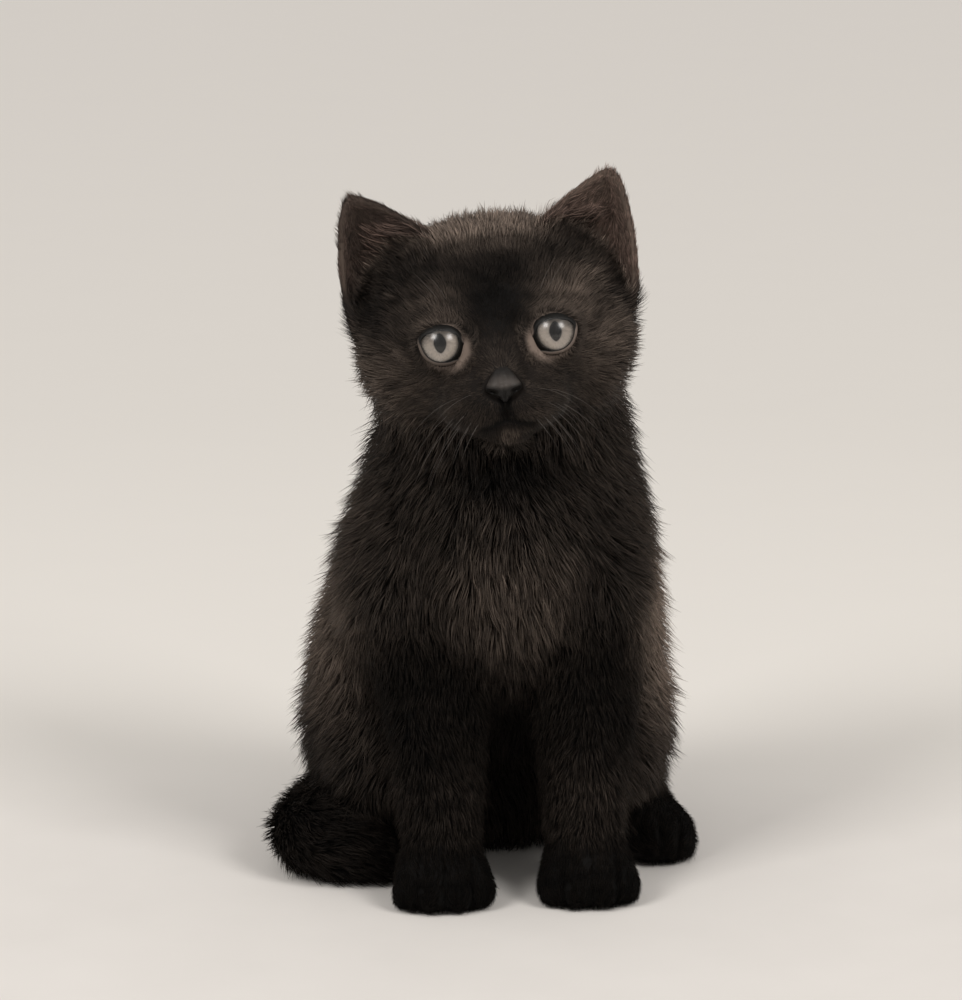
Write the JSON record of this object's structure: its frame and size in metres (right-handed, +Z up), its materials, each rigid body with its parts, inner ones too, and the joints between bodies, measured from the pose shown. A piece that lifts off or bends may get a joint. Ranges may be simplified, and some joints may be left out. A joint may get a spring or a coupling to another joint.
{
  "type": "black kitten, seated, still model",
  "caption": "Young short-haired black kitten sitting upright on its haunches with the forelegs straight, the tail curled round one side, and the head facing ahead.",
  "frame": {"origin": "on the floor, below the middle of the model's box", "axes": "+Z up; the kitten faces -Y, so its left side is +X"},
  "size_m": [0.136, 0.1336, 0.2237],
  "materials": {
    "coat": "soft, plush black-brown fur, faintly lighter at the tips",
    "ear_coat": "short fine dark fur over thin skin",
    "eye": "wet, clear over a pale taupe iris with a dark upright pupil",
    "nose": "dark charcoal, pebbled, slightly moist"
  },
  "bodies": {
    "root": {"ear_left": "ear_coat", "ear_right": "ear_coat", "eye_left": "eye", "eye_right": "eye", "foreleg_left": "coat", "foreleg_right": "coat", "forepaw_left": "coat", "forepaw_right": "coat", "head": "coat", "hindfoot_left": "coat", "hindfoot_right": "coat", "neck": "coat", "nose": "nose", "tail_base": "coat", "tail_middle": "coat", "tail_tip": "coat", "thigh_left": "coat", "thigh_right": "coat", "trunk": "coat"}
  },
  "joints": []
}
